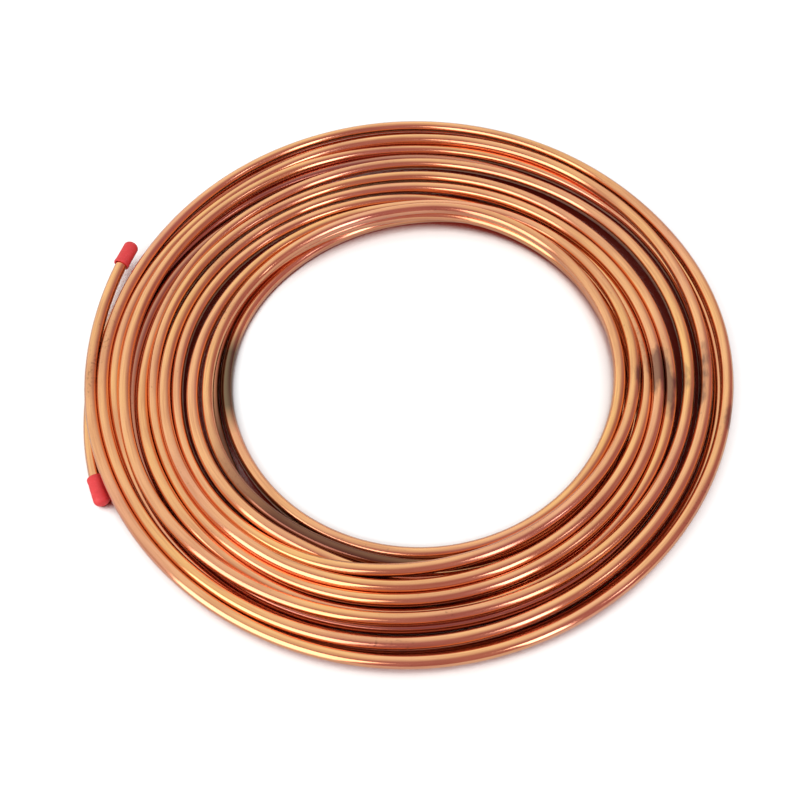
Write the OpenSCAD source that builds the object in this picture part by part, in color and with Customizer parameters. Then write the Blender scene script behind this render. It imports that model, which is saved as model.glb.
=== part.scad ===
// Copper tube coil: soft-drawn tube wound in three nested layers and laid flat,
// with both tube ends on the outside of the coil under push-on caps.
// The coil's axis is +Z and the lowest turns rest on the plane z = 0.

/* [Tube] */
// Outside diameter of the tube
tube_od = 6.35; // [4:0.05:12]
// Wall thickness of the tube, seen in the bores of its ends
tube_wall = 0.76; // [0.5:0.01:1.6]

/* [Coil] */
// Outside diameter of the coil over its outermost turns
coil_od = 330.4; // [280:0.2:420]
// Turns in each layer
turns = 6; // [3:1:8]
// Layers, one on another
layers = 3; // [2:1:5]
// Open gap between neighbouring turns of one layer
turn_gap = 4.1; // [2.5:0.1:4.4]
// Depth that nested turns are pressed into each other
press = 0.1; // [0.05:0.01:0.3]

/* [Tails] */
// Place around the coil where the upper tail leaves the top layer
upper_tail_at = 186; // [178:1:220]
// Place around the coil where the lower tail leaves the bottom layer
lower_tail_at = 168; // [130:1:174]
// Outward angle of a tail where it leaves its turn
tail_kink = 9; // [8:0.5:16]
// Length of a tail's root, which tapers into its turn
tail_root = 12; // [9:0.5:18]
// Diameter at the start of the root, as a share of the tube's
tail_root_taper = 0.8; // [0.6:0.05:0.9]
// Bend radius of a tail
tail_bend = 105; // [80:1:160]
// Angle through which a tail bends
tail_sweep = 30; // [15:1:40]
// Upward tilt of a tail, which keeps the lower cap clear of the floor
tail_lift = 0.9; // [0.8:0.1:3]
// Straight length at the end of a tail
tail_straight = 36; // [25:1:80]
// Amount by which a straight end is sized smaller than the tube
end_sizing = 0.04; // [0.02:0.01:0.2]
// Length by which the straight pieces of a tail reach into its bend
joint_overlap = 0.5; // [0.2:0.1:1]
// Depth of the open bore at a tube end
end_bore_depth = 30; // [5:1:60]

/* [End caps] */
// Length of a cap
cap_length = 16.5; // [10:0.5:30]
// Wall thickness of a cap
cap_wall = 0.85; // [0.5:0.05:2]
// Thickness of the closed end of a cap
cap_end_thickness = 1.2; // [0.8:0.1:3]
// Clearance between the tube and the cap around it
cap_clearance = 0.1; // [0.05:0.01:0.3]
// Clearance between the end of the tube and the closed end of the cap
cap_end_clearance = 0.3; // [0.1:0.05:0.6]
// Dome radius of the closed end, as a multiple of the cap's radius
cap_dome = 1.25; // [1.05:0.05:3]
// Length of the thicker lip at the mouth of a cap
cap_lip_length = 1.5; // [0.5:0.1:4]
// Height of the lip above the wall of the cap
cap_lip_height = 0.25; // [0.1:0.05:0.6]

/* [Hidden] */
$fn = 96;
turn_radius = tube_od / 2;
turn_pitch = tube_od + turn_gap;
layer_rise = sqrt(pow(2 * turn_radius - press, 2) - pow(turn_pitch / 2, 2));
outer_turn = coil_od / 2 - turn_radius;
top_height = turn_radius + (layers - 1) * layer_rise;
end_od = tube_od - end_sizing;
tube_bore = end_od - 2 * tube_wall;
cap_bore = end_od + 2 * cap_clearance;
cap_od = cap_bore + 2 * cap_wall;
cap_reach = cap_length - cap_end_thickness - dome_rise(cap_bore / 2) - cap_end_clearance;

// Node to draw, or all of them

// Radius at which a turn of a layer runs: every second layer is nested half a pitch further in
function turn_place(layer, turn) = outer_turn - turn * turn_pitch - (layer % 2) * turn_pitch / 2;

// Height at which the turns of a layer run
function layer_height(layer) = turn_radius + layer * layer_rise;

// Height of the domed end of a round bar
function dome_rise(radius) = radius * (cap_dome - sqrt(pow(cap_dome, 2) - 1));

module turn_sections() {
    for (layer = [0 : layers - 1])
        for (turn = [0 : turns - 1])
            translate([turn_place(layer, turn), layer_height(layer)])
                circle(r = turn_radius);
}

// Fills the closed hollows between four nested turns
module core_section(layer) {
    inner = turn_place(layer, turns - 1);
    translate([inner, layer_height(layer) - layer_rise / 2])
        square([turn_place(layer, 0) - inner, layer_rise]);
}

module wound_turns() {
    rotate_extrude(convexity = 10) {
        turn_sections();
        if (layers > 2)
            for (layer = [1 : layers - 2])
                core_section(layer);
    }
}

// Puts its children at the end of a tail that leaves the outermost turn at +X and runs towards +Y
module at_tail_end() {
    translate([outer_turn, 0, 0])
        rotate([tail_lift, 0, -tail_kink])
            translate([-tail_bend, tail_root, 0])
                rotate(tail_sweep)
                    translate([tail_bend, tail_straight, 0])
                        rotate([90, 0, 0])
                            children();
}

module tail_tube() {
    translate([outer_turn, 0, 0])
        rotate([tail_lift, 0, -tail_kink]) {
            rotate([-90, 0, 0])
                cylinder(d1 = tail_root_taper * tube_od, d2 = end_od, h = tail_root + joint_overlap);
            translate([-tail_bend, tail_root, 0])
                rotate_extrude(angle = tail_sweep)
                    translate([tail_bend, 0])
                        circle(d = tube_od);
        }
    at_tail_end()
        cylinder(d = end_od, h = tail_straight + joint_overlap);
}

module tail_bore() {
    at_tail_end()
        translate([0, 0, -1])
            cylinder(d = tube_bore, h = end_bore_depth + 1);
}

// The upper tail runs clockwise and the lower one anticlockwise
module place_upper() {
    translate([0, 0, top_height])
        rotate(upper_tail_at)
            mirror([0, 1, 0])
                children();
}

module place_lower() {
    translate([0, 0, turn_radius])
        rotate(lower_tail_at)
            children();
}

// Half section of a round bar with a domed end at the origin
module domed_section(radius, length) {
    intersection() {
        square([radius, dome_rise(radius)]);
        translate([0, cap_dome * radius])
            circle(r = cap_dome * radius);
    }
    translate([0, dome_rise(radius)])
        square([radius, length - dome_rise(radius)]);
}

module cap_section() {
    difference() {
        union() {
            domed_section(cap_od / 2, cap_length);
            translate([0, cap_length - cap_lip_length])
                square([cap_od / 2 + cap_lip_height, cap_lip_length]);
        }
        translate([0, cap_end_thickness])
            domed_section(cap_bore / 2, cap_length);
    }
}

module end_cap() {
    at_tail_end()
        translate([0, 0, cap_reach - cap_length])
            rotate_extrude()
                cap_section();
}

module tube_coil() {
    color("#c8794a")
        difference() {
            union() {
                wound_turns();
                place_upper()
                    tail_tube();
                place_lower()
                    tail_tube();
            }
            place_upper()
                tail_bore();
            place_lower()
                tail_bore();
        }
}

module upper_end_cap() {
    color("#c02c2c")
        place_upper()
            end_cap();
}

module lower_end_cap() {
    color("#c02c2c")
        place_lower()
            end_cap();
}

tube_coil();
upper_end_cap();
lower_end_cap();
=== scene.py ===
# %% [markdown]
# # A copper tube coil
# Soft copper tube is sold wound flat in a roll, with a red plastic cap pushed on each end to keep dirt
# out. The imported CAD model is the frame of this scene: every piece is in its metres, round its axis and
# on its floor. This script dresses it with one long tube whose turns lie as loosely as real ones do.

# %% Load the frame
import math
import bmesh
import bpy
import numpy as np
from mathutils import Matrix, Vector


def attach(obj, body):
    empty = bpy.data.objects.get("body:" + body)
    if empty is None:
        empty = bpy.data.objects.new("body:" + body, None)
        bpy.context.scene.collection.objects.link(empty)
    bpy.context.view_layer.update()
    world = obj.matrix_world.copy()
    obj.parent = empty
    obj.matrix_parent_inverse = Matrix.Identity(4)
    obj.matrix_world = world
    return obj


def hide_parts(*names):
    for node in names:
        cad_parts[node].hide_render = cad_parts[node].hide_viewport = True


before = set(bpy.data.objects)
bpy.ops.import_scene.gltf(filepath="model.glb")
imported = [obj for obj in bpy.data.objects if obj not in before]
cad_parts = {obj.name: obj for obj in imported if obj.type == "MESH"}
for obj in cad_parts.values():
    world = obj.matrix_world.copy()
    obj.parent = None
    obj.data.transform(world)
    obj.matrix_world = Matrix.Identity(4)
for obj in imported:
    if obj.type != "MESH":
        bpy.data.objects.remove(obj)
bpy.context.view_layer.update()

MM = 0.001
print("CAD nodes:", sorted(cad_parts))

# %% [markdown]
# ## The camera
# The picture is taken from in front and well above, with a 45 mm lens held a few degrees out of level. A
# camera at rotation zero looks straight down, so tilting it up by 90 degrees less its elevation aims it
# at the coil. The last turn, about its own line of sight, is the tilt of the horizon.

# %% Place the camera
camera_elevation = math.radians(58.93)
camera_roll = math.radians(-5.35)
camera_place = Vector((-0.0051, -0.2950, 0.4505))

camera_data = bpy.data.cameras.new("camera")
camera_data.lens = 45
camera_data.sensor_width = 36
camera = bpy.data.objects.new("camera", camera_data)
bpy.context.scene.collection.objects.link(camera)
camera.matrix_world = (Matrix.Translation(camera_place)
                       @ Matrix.Rotation(math.pi / 2 - camera_elevation, 4, "X")
                       @ Matrix.Rotation(camera_roll, 4, "Z"))
bpy.context.scene.camera = camera
print("camera at", tuple(round(c, 3) for c in camera_place))

# %% [markdown]
# ## How the turns lie
# The tube starts in the upper cap, winds inwards over the top of the coil, dives near the eye and winds
# outwards again along the floor to the lower cap. A perfect spiral would look like a machine part,
# because real turns wander: some climb over a neighbour and some slip into a gap. So each turn below is
# one row of distances from the coil's axis, in millimetres, at twelve places round the coil, 30 degrees
# apart. The first place is on the far left, where the upper cap is, and they go on past the viewer, as
# the tube itself does. A place anywhere on the tube is its winding angle, in degrees, which keeps growing
# from turn to turn.

# %% Where each turn runs
tube_od = 6.35
first_place, place_step = 150, 30
turn_distances = (
    # leaves the upper cap
    (174.5, 166.9, 163.2, 164.0, 166.3, 165.3, 165.3, 167.2, 163.8, 165.4, 166.9, 165.3),
    (161.3, 159.6, 157.8, 157.6, 157.6, 155.6, 155.4, 156.5, 156.8, 155.6, 153.1, 153.0),
    (156.0, 156.6, 155.0, 155.6, 155.0, 155.6, 155.8, 157.3, 157.2, 151.2, 149.6, 148.6),
    (150.6, 151.0, 151.0, 147.3, 145.4, 146.6, 147.4, 147.0, 143.0, 136.4, 135.4, 132.8),
    (138.0, 140.0, 142.0, 142.0, 140.4, 141.4, 140.0, 135.8, 129.4, 126.0, 124.6, 125.9),
    (132.2, 134.4, 136.6, 136.6, 136.2, 135.8, 134.2, 129.6, 122.4, 117.5, 115.6, 117.8),
    (123.4, 127.6, 130.8, 130.4, 130.0, 129.5, 127.6, 124.2, 118.6, 113.0, 106.6, 109.4),
    (116.4, 121.2, 125.2, 124.2, 120.4, 119.8, 120.2, 119.0, 114.0, 107.4, 99.8, 101.1),
    # slips under its neighbours
    (105.4, 112.4, 119.3, 122.0, 126.2, 129.0, 126.0, 120.0, 115.0, 105.5, 96.0, 92.5),
    (93.6, 96.0, 100.0, 107.0, 113.3, 116.2, 114.7, 110.5, 105.4, 100.5, 91.5, 90.4),
    # dives to the floor
    (98.0, 104.0, 112.3, 117.0, 119.8, 122.6, 119.5, 113.6, 108.8, 100.5, 92.8, 91.8),
    (99.6, 102.6, 107.0, 119.0, 132.8, 135.4, 132.5, 127.0, 123.0, 121.0, 126.0, 136.0),
    (144.5, 146.2, 147.2, 149.0, 147.6, 149.0, 147.6, 149.2, 146.8, 142.5, 145.4, 146.0),
    (151.0, 154.5, 159.5, 162.0, 161.8, 162.3, 163.0, 164.4, 164.0, 162.4, 164.0, 162.2),
)
# the two tails swing away from the coil quickly, so they have closer places: winding angle and distance
upper_tail = (
    (145, 176.9), (150, 174.5), (155, 172.3), (160, 170.5), (165, 169.1), (170, 168.0), (175, 167.3),
)
lower_tail = (
    (5190, 164.5), (5205, 165.8), (5220, 167.6), (5230, 169.6), (5240, 171.6), (5245, 172.4), (5250, 173.2),
)
angle_step = 5
first_angle, last_angle = upper_tail[0][0], lower_tail[-1][0]
wound_angle = np.arange(first_angle, last_angle + 1, angle_step, dtype=float)
turn_places = [(first_place + place_step * i, d) for i, d in enumerate(np.ravel(turn_distances))]
# the first place of all is in the upper tail already
wish_distance = np.interp(wound_angle, *zip(*upper_tail, *turn_places[1:], *lower_tail))
print(len(wound_angle), "points on", round((last_angle - first_angle) / 360, 2), "turns")

# %% [markdown]
# ## How high they lie
# On its way in the tube mostly lies on top, and on its way out mostly on the floor. Where a turn slips
# under its neighbours, or climbs over them at the eye, a stretch of the winding gets a height of its own.

# %% Heights along the winding
on_floor = tube_od / 2
on_top = 9.5
floor_from = 3860
# from and to (winding angle), height of the tube's middle (mm)
stretches = (
    (555, 600, 7.0), (840, 915, 7.0), (915, 1130, on_floor), (1130, 1185, 6.0),
    (1590, 1630, 5.5), (1670, 1760, on_floor), (1980, 2050, 6.6), (2500, 2600, on_floor),
    (2700, 2770, 6.6), (3110, 3130, 6.0), (3130, 3530, on_floor), (3530, 3555, 5.0),
    (3555, 3575, 7.5), (3630, 3660, 12.5), (3660, 3730, 15.8), (3730, 3750, 12.5),
    (3790, 3838, 7.0), (3838, 3860, 5.5), (4000, 4020, 6.0), (4020, 4095, on_top),
    (4095, 4110, 6.0), (4440, 4530, 5.6), (4740, 4825, 5.6), (5070, 5180, 3.9),
)
# the two ends keep their places while the turns settle
held_ends = ((0, 205, 10.6), (5212, 5300, 4.4))

wish_height = np.where(wound_angle >= floor_from, on_floor, on_top)
for start, stop, middle_height in stretches + held_ends:
    wish_height[(wound_angle >= start) & (wound_angle < stop)] = middle_height
held = np.zeros(len(wound_angle))
for start, stop, _ in held_ends:
    held[(wound_angle >= start) & (wound_angle < stop)] = 1


def ease(path, times):
    """Copper tube is stiff, so each point is drawn towards the middle of its two neighbours."""
    for _ in range(times):
        ends = np.concatenate(([2 * path[0] - path[1]], path, [2 * path[-1] - path[-2]]))
        path = (ends[:-2] + 2 * ends[1:-1] + ends[2:]) / 4
    return path


wish_easing, held_easing = 10, 6
wish_distance = ease(wish_distance, wish_easing)
wish_height = ease(wish_height, wish_easing)
held = ease(held, held_easing)
print("heights from", round(wish_height.min(), 2), "to", round(wish_height.max(), 2), "mm")

# %% [markdown]
# ## Letting the turns settle
# Two tubes can't share a place, so where two turns are nearer than one tube apart, each is pushed away by
# almost a third of what is missing. The move is then shared with the points on either side, and the next
# round first draws each point a little way back to its wish. A few hundred rounds give turns that touch,
# nest and cross, with less than a millimetre of press left between them. All turns that pass one angle
# stand in one column of a grid.

# %% Turns in columns
per_turn = 360 // angle_step
first_column = first_angle // angle_step
grid_rows = (first_column + len(wound_angle)) // per_turn + 1
one, other = np.triu_indices(grid_rows, 1)


def in_columns(path):
    grid = np.full(grid_rows * per_turn, np.nan)
    grid[first_column:first_column + len(path)] = path
    return grid.reshape(grid_rows, per_turn)


def from_columns(grid):
    return grid.ravel()[first_column:first_column + len(wound_angle)]


print(len(one), "pairs of turns in each of", per_turn, "columns")

# %% Push the turns apart
settle_rounds, firm_rounds = 500, 350
firm_pull, slack_pull, end_pull = 0.03, 0.0075, 0.3
push_share = 0.3
least_apart = 0.001
distance, height = wish_distance.copy(), wish_height.copy()
for settle_round in range(settle_rounds):
    pull = (firm_pull if settle_round < firm_rounds else slack_pull) + end_pull * held
    distance = distance + (wish_distance - distance) * pull
    height = height + (wish_height - height) * pull
    across, up = in_columns(distance), in_columns(height)
    gap_across, gap_up = across[other] - across[one], up[other] - up[one]
    apart = np.hypot(gap_across, gap_up)
    push = push_share * np.nan_to_num(np.clip(tube_od / np.maximum(apart, least_apart) - 1, 0, None))
    move_across, move_up = np.zeros_like(across), np.zeros_like(up)
    for move, gap in ((move_across, gap_across), (move_up, gap_up)):
        np.add.at(move, other, np.nan_to_num(gap) * push)
        np.add.at(move, one, -np.nan_to_num(gap) * push)
    distance = wish_distance + ease(distance + from_columns(move_across) - wish_distance, 1)
    height = np.maximum(wish_height + ease(height + from_columns(move_up) - wish_height, 1), on_floor)
print("deepest press between turns:", round(tube_od - np.nanmin(apart), 2), "mm")

# %% [markdown]
# ## Drawing the tube along its path
# A curve with a round bevel is the natural way to make tube: it sweeps one circle along the path. Its
# twist is set so that the top of the circle stays on top. The curve is then made a mesh, so that each
# point can keep its place on the tube for the finish.

# %% The path in metres
fine_step, fine_easing = 1.25, 2
tube_starts, tube_stops = 149.6, 5243.2
fine_angle = np.linspace(tube_starts, tube_stops, round((tube_stops - tube_starts) / fine_step))
path_distance = ease(np.interp(fine_angle, wound_angle, distance), fine_easing)
path_height = ease(np.interp(fine_angle, wound_angle, height), fine_easing)
turn_angle = np.radians(fine_angle)
path = np.stack([path_distance * np.cos(turn_angle), path_distance * np.sin(turn_angle), path_height], 1) * MM
along = np.concatenate(([0], np.cumsum(np.linalg.norm(np.diff(path, axis=0), axis=1))))
print("the tube is", round(along[-1], 2), "m long")

# %% Sweep the tube
sweep = bpy.data.curves.new("tube_sweep", "CURVE")
sweep.dimensions = "3D"
sweep.twist_mode = "Z_UP"
sweep.bevel_depth = tube_od / 2 * MM
sweep.bevel_resolution = 9
sweep.use_fill_caps = True
spline = sweep.splines.new("POLY")
spline.points.add(len(path) - 1)
spline.points.foreach_set("co", np.column_stack([path, np.ones(len(path))]).ravel())
swept = bpy.data.objects.new("tube_sweep", sweep)
bpy.context.scene.collection.objects.link(swept)
bpy.context.view_layer.update()
tube_mesh = bpy.data.meshes.new_from_object(swept.evaluated_get(bpy.context.evaluated_depsgraph_get()))
bpy.data.objects.remove(swept)
# a bevel of resolution n has 2n + 4 points round its circle
around = 4 + 2 * sweep.bevel_resolution
print(len(path), "rings of", around, "points,", len(tube_mesh.vertices), "vertices")

# %% [markdown]
# ## The tube laid straight
# Drawing marks and tarnish follow a tube round its bends, so the finish needs each point's place on the
# tube as it was before it was wound. That place is kept with the mesh: metres along the tube, and the
# offset across it. The mesh lists the points that close the two ends before the rings, so each ring takes
# the place of the second ring after it. That is about 6 mm, too little to show on the marks.

# %% Keep each point's place on the straight tube
ring_count = len(path)
corner = np.array([v.co for v in tube_mesh.vertices])
ring = np.minimum(np.arange(len(corner)) // around, ring_count - 1)
outward = path * (1, 1, 0) / np.linalg.norm(path * (1, 1, 0), axis=1, keepdims=True)
offset = corner - path[ring]
straight = np.column_stack([along[ring], np.sum(offset * outward[ring], 1), offset[:, 2]])
kept_place = tube_mesh.attributes.new("straight_tube", "FLOAT_VECTOR", "POINT")
kept_place.data.foreach_set("vector", straight.ravel())
print("a ring is", round(along[-1] / (ring_count - 1) / MM, 2), "mm from the next")

# %% Close the tube and hand it to the frame
same_place = 1e-6
tube_shape = bmesh.new()
tube_shape.from_mesh(tube_mesh)
bmesh.ops.remove_doubles(tube_shape, verts=tube_shape.verts, dist=same_place)
bmesh.ops.recalc_face_normals(tube_shape, faces=tube_shape.faces)
for face in tube_shape.faces:
    face.smooth = len(face.verts) <= 4
tube_shape.to_mesh(tube_mesh)
tube_shape.free()
tube = bpy.data.objects.new("copper_tube", tube_mesh)
bpy.context.scene.collection.objects.link(tube)
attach(tube, "root")
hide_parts("tube_coil")
print("tube faces:", len(tube_mesh.polygons))

# %% [markdown]
# ## The end caps
# Each cap is a soft vinyl cup, made by dipping a warm rod, so its closed end is rounded, its wall is
# thin, and a slightly fatter bead runs round its mouth. It starts as a closed cylinder: cuts near the
# mouth give the rings that swell into the bead, the mouth is inset and pushed in for the bore, and the
# far rim is rounded with a wide bevel.

# %% Make a cap
cap_length, cap_radius, cap_wall, cap_bead = 15.8, 4.12, 0.85, 0.2
cap_end, cap_dome, cap_lip = 2.6, 2.9, 0.22
cap_sides = 64
# cuts back from the mouth (mm): the last two keep the wall straight behind the bead
mouth_cuts = (0.5, 1.1, 1.8, 2.4, 3.4)
# back from the mouth (mm), share of the bead's height
bead_profile = ((0, 0.4), (0.5, 0.9), (1.1, 1.0), (1.8, 0.55))
hair = 1e-7


def make_cap(name, end, direction, reach):
    """A cap around a tube end, its mouth a reach back along the tube from that end."""
    cap = bmesh.new()
    bmesh.ops.create_cone(cap, cap_ends=True, segments=cap_sides, radius1=cap_radius * MM,
                          radius2=cap_radius * MM, depth=cap_length * MM)
    far = cap_length / 2 * MM
    for back in mouth_cuts:
        bmesh.ops.bisect_plane(cap, geom=cap.verts[:] + cap.edges[:] + cap.faces[:], dist=hair,
                               plane_co=(0, 0, -far + back * MM), plane_no=(0, 0, 1))
    for back, swell in bead_profile:
        bead = [v for v in cap.verts if abs(v.co.z - (-far + back * MM)) < same_place]
        grow = 1 + cap_bead * swell / cap_radius
        bmesh.ops.scale(cap, verts=bead, vec=(grow, grow, 1))
    mouth = next(f for f in cap.faces if len(f.verts) > 4 and f.calc_center_median().z < 0)
    bmesh.ops.inset_region(cap, faces=[mouth], thickness=cap_wall * MM)
    bored = bmesh.ops.extrude_discrete_faces(cap, faces=[mouth])["faces"][0]
    bmesh.ops.translate(cap, verts=bored.verts[:], vec=(0, 0, (cap_length - cap_end) * MM))
    rim = [e for e in cap.edges if all(abs(v.co.z - far) < hair for v in e.verts)]
    bmesh.ops.bevel(cap, geom=rim, offset=cap_dome * MM, affect="EDGES", segments=9, profile=0.5, material=-1)
    lip = [e for e in cap.edges if all(abs(v.co.z + far) < hair for v in e.verts)]
    bmesh.ops.bevel(cap, geom=lip, offset=cap_lip * MM, affect="EDGES", segments=3, profile=0.5, material=-1)
    bmesh.ops.recalc_face_normals(cap, faces=cap.faces)
    turn = direction.to_track_quat("Z", "Y").to_matrix().to_4x4()
    middle = end + direction * (cap_length / 2 - reach) * MM
    bmesh.ops.transform(cap, matrix=Matrix.Translation(middle) @ turn, verts=cap.verts)
    for face in cap.faces:
        face.smooth = len(face.verts) <= 4
    mesh = bpy.data.meshes.new(name)
    cap.to_mesh(mesh)
    cap.free()
    piece = bpy.data.objects.new(name, mesh)
    bpy.context.scene.collection.objects.link(piece)
    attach(piece, "root")
    print(name, len(mesh.polygons), "faces at", tuple(round(c, 4) for c in middle))
    return piece


# %% Push a cap on each end
cap_reach = 13.0
upper_lead = (Vector(path[0]) - Vector(path[2])).normalized()
lower_lead = (Vector(path[-1]) - Vector(path[-3])).normalized()
upper_cap = make_cap("red_cap_upper", Vector(path[0]), upper_lead, cap_reach)
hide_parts("upper_end_cap")
lower_cap = make_cap("red_cap_lower", Vector(path[-1]), lower_lead, cap_reach)
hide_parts("lower_end_cap")

# %% [markdown]
# ## Helpers for the finishes
# Colours of surfaces are written as sRGB hex values, as a picture editor shows them, and one function
# turns them to the linear values that Blender works with. Another adds a node, sets it up and links it.

# %% Colour and node helpers
def colour(text):
    parts = [int(text[i:i + 2], 16) / 255 for i in (1, 3, 5)]
    return [p / 12.92 if p <= 0.04045 else ((p + 0.055) / 1.055) ** 2.4 for p in parts] + [1]


def add(tree, kind, links=None, **settings):
    """Adds a node. Settings are its properties first, then its inputs by name with spaces as underscores."""
    node = tree.nodes.new(kind)
    for key, value in settings.items():
        if key in node.bl_rna.properties:
            setattr(node, key, value)
        else:
            node.inputs[key.replace("_", " ")].default_value = value
    for key, source in (links or {}).items():
        tree.links.new(source, node.inputs[key])
    return node


print("mid grey is", round(colour("#808080")[0], 3), "in linear light")

# %% [markdown]
# ## Bright-drawn copper
# The tube is drawn through dies and annealed, which leaves it bright: a mirror slightly dulled by fine
# lines along its length. Handling and heat then tint it. The eye gets a warm peach in the light, orange
# and deep maroon where one turn mirrors the next, and brown or purple clouds where a film of oxide has
# grown. Most of the pattern reads the straight tube's own coordinates, so marks run along each turn. A
# thin clear coat adds the whiter glint of a film.

# %% Copper
copper = bpy.data.materials.new("bright_drawn_copper")
copper.use_nodes = True
tree = copper.node_tree
shader = tree.nodes["Principled BSDF"]
shader.inputs["Metallic"].default_value = 1
shader.inputs["Coat Weight"].default_value = 0.3
shader.inputs["Coat Roughness"].default_value = 0.12
straight_place = add(tree, "ShaderNodeAttribute", attribute_name="straight_tube").outputs["Vector"]
object_place = add(tree, "ShaderNodeTexCoord").outputs["Object"]
tube_mesh.materials.clear()
tube_mesh.materials.append(copper)
print("material:", copper.name)

# %% [markdown]
# ### The skin
# Annealing leaves the skin uneven, from yellowish to rosy over a hand's breadth. A large, soft noise
# mixes the two. One length of the turns on the floor is a duller, rosy purple. It is found by its place
# along the tube, so a small helper turns two winding angles into a share that fades in and out along the
# length.

# %% Skin of the copper
skin_change = 120 * MM
skin = add(tree, "ShaderNodeTexNoise", {"Vector": straight_place}, Scale=1 / skin_change, Detail=3)
skin_share = add(tree, "ShaderNodeMapRange", {"Value": skin.outputs["Fac"]}, From_Min=0.35, From_Max=0.65)
skin_colour = add(tree, "ShaderNodeMix", {"Factor": skin_share.outputs["Result"]}, data_type="RGBA",
                  A=colour("#f4b37c"), B=colour("#efa68a"))
length_place = add(tree, "ShaderNodeSeparateXYZ", {"Vector": straight_place}).outputs["X"]


def length_share(starts, stops, fade, strength=1.0):
    """Share of a tint along the tube between two winding angles, with ends that fade over some metres."""
    starts, stops = np.interp((starts, stops), fine_angle, along)
    fade_in = add(tree, "ShaderNodeMapRange", {"Value": length_place}, From_Min=starts - fade / 2,
                  From_Max=starts + fade / 2, To_Max=strength)
    fade_out = add(tree, "ShaderNodeMapRange", {"Value": length_place}, From_Min=stops + fade / 2,
                   From_Max=stops - fade / 2)
    return add(tree, "ShaderNodeMath", {0: fade_in.outputs["Result"], 1: fade_out.outputs["Result"]},
               operation="MULTIPLY").outputs["Value"]


rosy_from, rosy_to, rosy_fade = 4388, 4986, 0.55
wound_colour = add(tree, "ShaderNodeMix", {"Factor": length_share(rosy_from, rosy_to, rosy_fade),
                                           "A": skin_colour.outputs["Result"]},
                   data_type="RGBA", B=colour("#b8786a"))
print("skin tint changes over", round(skin_change / MM), "mm")

# %% [markdown]
# ### Clouds and streaks
# Brown oxide grows in clouds that are longer than they are wide, and wiping leaves faint streaks along
# the tube. Both are noise that is stretched along the tube by a Mapping node: a smaller scale there makes
# longer marks.

# %% Clouds and streaks on the copper
cloud_length, streak_width = 60 * MM, 1.5 * MM
cloud_place = add(tree, "ShaderNodeMapping", {"Vector": straight_place}, Scale=(1, 5, 5))
clouds = add(tree, "ShaderNodeTexNoise", {"Vector": cloud_place.outputs["Vector"]}, Scale=1 / cloud_length,
             Detail=4, Roughness=0.6)
cloud_share = add(tree, "ShaderNodeMapRange", {"Value": clouds.outputs["Fac"]}, From_Min=0.46, From_Max=0.72,
                  To_Max=0.6)
clouded = add(tree, "ShaderNodeMix",
              {"Factor": cloud_share.outputs["Result"], "A": wound_colour.outputs["Result"]},
              data_type="RGBA", B=colour("#ca8769"))
# streaks are twenty times as long as they are wide
streak_place = add(tree, "ShaderNodeMapping", {"Vector": straight_place}, Scale=(1 / 20, 1, 1))
streaks = add(tree, "ShaderNodeTexNoise", {"Vector": streak_place.outputs["Vector"]}, Scale=1 / streak_width,
              Detail=3)
streak_share = add(tree, "ShaderNodeMapRange", {"Value": streaks.outputs["Fac"]}, From_Min=0.45, From_Max=0.7,
                   To_Max=0.5)
streaked = add(tree, "ShaderNodeMix",
               {"Factor": streak_share.outputs["Result"], "A": clouded.outputs["Result"]},
               data_type="RGBA", B=colour("#cf8362"))
print("clouds of", round(cloud_length / MM), "mm and streaks of", round(streak_width / MM, 1), "mm")

# %% [markdown]
# ### Painted shade and a stain
# Three lengths carry painted shade, a dark colour standing in for the deep shade they lie in: a greenish
# black one low on the eye's left wall, and brown ones where two turns sink at the near left. Each belongs
# to one turn, so it is placed along the tube and doesn't spill on its neighbours. The purple-brown stain
# on the right crosses several turns, so it is placed on the coil instead: an oval zone there raises a
# noise, and only what rises above a limit is stained, in patches about 30 mm long.

# %% Painted shade on lengths of the copper
painted_shade_strength = 0.85
# from and to (winding angle), fade at the ends (m), colour of the painted shade
painted_shade_lengths = (
    (3409, 3440, 0.018, "#4c473c"),
    (3816, 3885, 0.07, "#4a211d"),
    (4150, 4235, 0.05, "#3a1c1a"),
)
tinted = streaked
# each length gets its painted shade over the copper's colour
for starts, stops, fade, painted_shade_colour in painted_shade_lengths:
    painted_shade_share = length_share(starts, stops, fade, painted_shade_strength)
    tinted = add(tree, "ShaderNodeMix", {"Factor": painted_shade_share, "A": tinted.outputs["Result"]},
                 data_type="RGBA", B=colour(painted_shade_colour))
print(len(painted_shade_lengths), "dark lengths")

# %% Stain across the right of the coil
patch_length = 30 * MM
stain_middle, stain_turn = (0.136, -0.034, 0), math.radians(-14)
# half length and half width of the zone, which has no limit in height
stain_reach = (0.055, 0.036, 10)
stain_place = add(tree, "ShaderNodeMapping", {"Vector": straight_place}, Scale=(1, 3, 3))
stain_shape = add(tree, "ShaderNodeTexNoise", {"Vector": stain_place.outputs["Vector"]},
                  Scale=1 / patch_length, Detail=5)
zone = add(tree, "ShaderNodeMapping", {"Vector": object_place}, vector_type="TEXTURE", Location=stain_middle,
           Rotation=(0, 0, stain_turn), Scale=stain_reach)
reach = add(tree, "ShaderNodeVectorMath", {"Vector": zone.outputs["Vector"]}, operation="LENGTH")
near = add(tree, "ShaderNodeMapRange", {"Value": reach.outputs["Value"]},
           From_Max=1.4, To_Min=0.06, To_Max=-0.45)
stain_edge = add(tree, "ShaderNodeMath", {0: stain_shape.outputs["Fac"], 1: near.outputs["Result"]},
                 operation="ADD")
stain_share = add(tree, "ShaderNodeMapRange", {"Value": stain_edge.outputs["Value"]},
                  From_Min=0.42, From_Max=0.54, To_Max=0.85)
stained = add(tree, "ShaderNodeMix", {"Factor": stain_share.outputs["Result"], "A": tinted.outputs["Result"]},
              data_type="RGBA", B=colour("#80564e"))
print("stain around", stain_middle[:2], "m")

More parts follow.
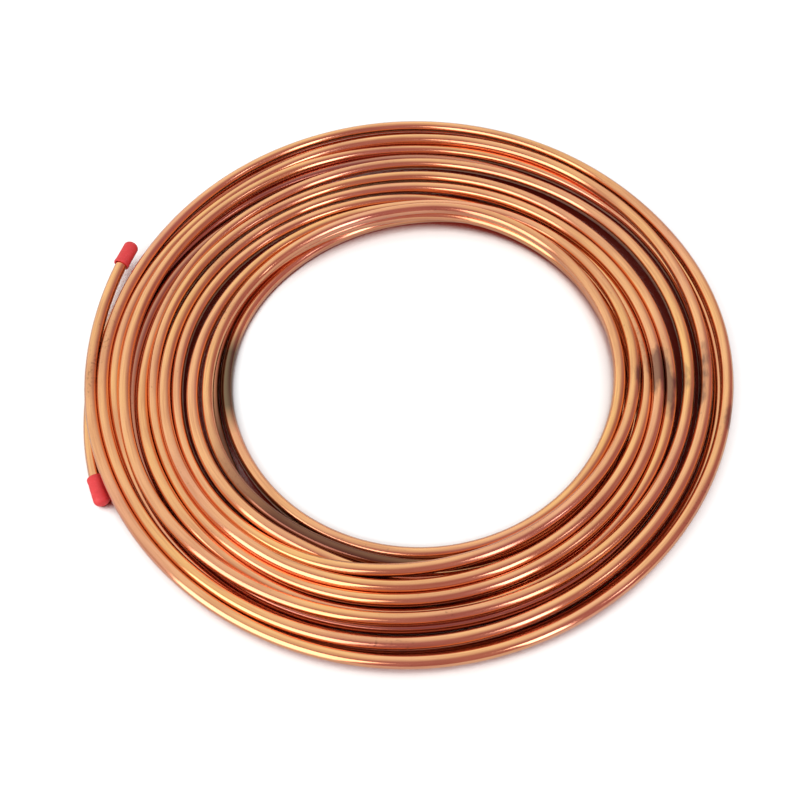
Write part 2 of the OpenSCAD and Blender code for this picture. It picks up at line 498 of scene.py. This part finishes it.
# %% [markdown]
# ### Specks, drawing lines and gloss
# Small brown specks sit where the clouds are, so the two patterns are multiplied. The dies leave fine
# lines along the tube, a slight bump hundreds of times as long as it is wide. They are drawn coarser than
# real ones, so that they show. Where oxide has grown, the mirror is a little duller.

# %% Specks, lines and gloss of the copper
speck_size, line_spacing, line_depth = 1.5 * MM, 0.4 * MM, 0.1 * MM
specks = add(tree, "ShaderNodeTexNoise", {"Vector": straight_place}, Scale=1 / speck_size, Detail=2)
speck_edge = add(tree, "ShaderNodeMath", {0: specks.outputs["Fac"], 1: clouds.outputs["Fac"]},
                 operation="MULTIPLY")
speck_share = add(tree, "ShaderNodeMapRange", {"Value": speck_edge.outputs["Value"]},
                  From_Min=0.38, From_Max=0.44, To_Max=0.4)
specked = add(tree, "ShaderNodeMix",
              {"Factor": speck_share.outputs["Result"], "A": stained.outputs["Result"]},
              data_type="RGBA", B=colour("#8a5a46"))
tree.links.new(specked.outputs["Result"], shader.inputs["Base Color"])
line_place = add(tree, "ShaderNodeMapping", {"Vector": straight_place}, Scale=(1 / 250, 1, 1))
lines = add(tree, "ShaderNodeTexNoise", {"Vector": line_place.outputs["Vector"]},
            Scale=1 / line_spacing, Detail=2)
line_bump = add(tree, "ShaderNodeBump", {"Height": lines.outputs["Fac"]}, Strength=0.03, Distance=line_depth)
tree.links.new(line_bump.outputs["Normal"], shader.inputs["Normal"])
dulling = add(tree, "ShaderNodeMapRange", {"Value": clouds.outputs["Fac"]},
              From_Min=0.3, From_Max=0.8, To_Min=0.1, To_Max=0.2)
tree.links.new(dulling.outputs["Result"], shader.inputs["Roughness"])
print("copper nodes:", len(tree.nodes))

# %% [markdown]
# ## Dipped vinyl
# The caps are soft red vinyl with a dull skin. It is not quite even: the colour is a little deeper in
# places, and rubbing against other coils leaves pale scuffs on it.

# %% Vinyl
vinyl = bpy.data.materials.new("dipped_red_vinyl")
vinyl.use_nodes = True
tree = vinyl.node_tree
shader = tree.nodes["Principled BSDF"]
cap_place = add(tree, "ShaderNodeTexCoord").outputs["Object"]
pigment_size, scuff_size, scuff_depth = 3 * MM, 0.8 * MM, 0.1 * MM
pigment = add(tree, "ShaderNodeTexNoise", {"Vector": cap_place}, Scale=1 / pigment_size, Detail=3)
red = add(tree, "ShaderNodeMix", {"Factor": pigment.outputs["Fac"]}, data_type="RGBA", A=colour("#b81f24"),
          B=colour("#d5353a"))
scuffs = add(tree, "ShaderNodeTexNoise", {"Vector": cap_place}, Scale=1 / scuff_size, Detail=3)
scuff_share = add(tree, "ShaderNodeMapRange", {"Value": scuffs.outputs["Fac"]}, From_Min=0.58, From_Max=0.8,
                  To_Max=0.35)
scuffed = add(tree, "ShaderNodeMix", {"Factor": scuff_share.outputs["Result"], "A": red.outputs["Result"]},
              data_type="RGBA", B=colour("#dd6a66"))
tree.links.new(scuffed.outputs["Result"], shader.inputs["Base Color"])
dull = add(tree, "ShaderNodeMapRange", {"Value": pigment.outputs["Fac"]}, To_Min=0.45, To_Max=0.62)
tree.links.new(dull.outputs["Result"], shader.inputs["Roughness"])
skin_bump = add(tree, "ShaderNodeBump", {"Height": scuffs.outputs["Fac"]},
                Strength=0.15, Distance=scuff_depth)
tree.links.new(skin_bump.outputs["Normal"], shader.inputs["Normal"])
for cap in (upper_cap, lower_cap):
    cap.data.materials.append(vinyl)
print("vinyl nodes:", len(tree.nodes))

# %% [markdown]
# ## The floor
# The coil lies on a plain white floor that keeps its shadow. In the narrow gaps between turns, deep shade
# and light off the copper make the floor a dark red. Few light paths find their way out of such gaps, so
# a tint stands in for them: an Ambient Occlusion node finds where the floor is closely surrounded.
# Mirrors and bounced light see a greyer floor than the camera does.

# %% Floor
floor_half_side = 6
floor_shape = bmesh.new()
bmesh.ops.create_grid(floor_shape, x_segments=1, y_segments=1, size=floor_half_side)
floor_mesh = bpy.data.meshes.new("floor")
floor_shape.to_mesh(floor_mesh)
floor_shape.free()
floor = bpy.data.objects.new("floor", floor_mesh)
bpy.context.scene.collection.objects.link(floor)
white_floor = bpy.data.materials.new("white_floor")
white_floor.use_nodes = True
tree = white_floor.node_tree
shader = tree.nodes["Principled BSDF"]
shader.inputs["Roughness"].default_value = 0.9
shader.inputs["Specular IOR Level"].default_value = 0
ray = add(tree, "ShaderNodeLightPath")
closeness = add(tree, "ShaderNodeAmbientOcclusion", samples=8, Distance=25 * MM)
open_share = add(tree, "ShaderNodeMapRange", {"Value": closeness.outputs["AO"]}, From_Min=0.36, From_Max=0.52)
shaded = add(tree, "ShaderNodeMix", {"Factor": open_share.outputs["Result"]}, data_type="RGBA",
             A=colour("#7a2418"), B=colour("#ffffff"))
floor_colour = add(tree, "ShaderNodeMix",
                   {"Factor": ray.outputs["Is Camera Ray"], "B": shaded.outputs["Result"]},
                   data_type="RGBA", A=colour("#c4c2c0"))
tree.links.new(floor_colour.outputs["Result"], shader.inputs["Base Color"])
floor_mesh.materials.append(white_floor)
print("floor", 2 * floor_half_side, "m wide")

# %% [markdown]
# ## The light
# A broad, window-like lamp low on the left front lights the tubes' sides, and two small lamps on the
# right front give the sharp sparkles. The room that the metal mirrors is bright behind the coil and dim
# behind the viewer, and this is what makes each tube look round. Straight to the camera the room is plain
# white. Light can be brighter than white, so its colours are linear numbers and not hex values.

# %% Lamps
lamp_away = 2.0
# name, bearing and height (degrees), size (m), power (W), tint
lamps = (
    ("window_left", 224, 25, (1.7, 2.1), 28, (1.0, 0.95, 0.9)),
    ("small_right_front", 300, 30, (0.4, 1.3), 6, (0.9, 0.94, 1.0)),
    ("small_right", 328, 42, (0.14, 0.5), 0.7, (0.9, 0.94, 1.0)),
)
for name, bearing, raised, size, watts, tint in lamps:
    lamp_data = bpy.data.lights.new(name, "AREA")
    lamp_data.shape = "RECTANGLE"
    lamp_data.size, lamp_data.size_y = size
    lamp_data.energy = watts
    lamp_data.color = tint
    lamp = bpy.data.objects.new(name, lamp_data)
    bpy.context.scene.collection.objects.link(lamp)
    bearing, raised = math.radians(bearing), math.radians(raised)
    lamp.location = Vector((math.cos(bearing) * math.cos(raised), math.sin(bearing) * math.cos(raised),
                            math.sin(raised))) * lamp_away
    lamp.rotation_euler = lamp.location.to_track_quat("Z", "Y").to_euler()
print(len(lamps), "lamps")

# %% Room
bright_direction = (-0.4, 0.7, 0.25)
dim_side, bright_side = (0.45, 0.25, 0.28, 1), (1.04, 1.17, 0.98, 1)
room_light, plain_white = (1.06, 1.06, 1.06, 1), (1, 1, 1, 1)
world = bpy.data.worlds.new("white_room")
bpy.context.scene.world = world
world.use_nodes = True
tree = world.node_tree
ray = add(tree, "ShaderNodeLightPath")
aim = add(tree, "ShaderNodeTexCoord")
bright_way = add(tree, "ShaderNodeVectorMath", {0: aim.outputs["Generated"]}, operation="DOT_PRODUCT")
bright_way.inputs[1].default_value = bright_direction
bright_share = add(tree, "ShaderNodeMapRange", {"Value": bright_way.outputs["Value"]},
                   interpolation_type="SMOOTHSTEP", From_Min=-0.05, From_Max=0.75)
mirrored = add(tree, "ShaderNodeMix", {"Factor": bright_share.outputs["Result"]},
               data_type="RGBA", A=dim_side, B=bright_side)
for_metal = add(tree, "ShaderNodeMix",
                {"Factor": ray.outputs["Is Glossy Ray"], "B": mirrored.outputs["Result"]},
                data_type="RGBA", A=room_light)
seen = add(tree, "ShaderNodeMix", {"Factor": ray.outputs["Is Camera Ray"], "A": for_metal.outputs["Result"]},
           data_type="RGBA", B=plain_white)
tree.links.new(seen.outputs["Result"], tree.nodes["Background"].inputs["Color"])
bpy.context.scene.view_settings.view_transform = "Standard"
print("room nodes:", len(tree.nodes))
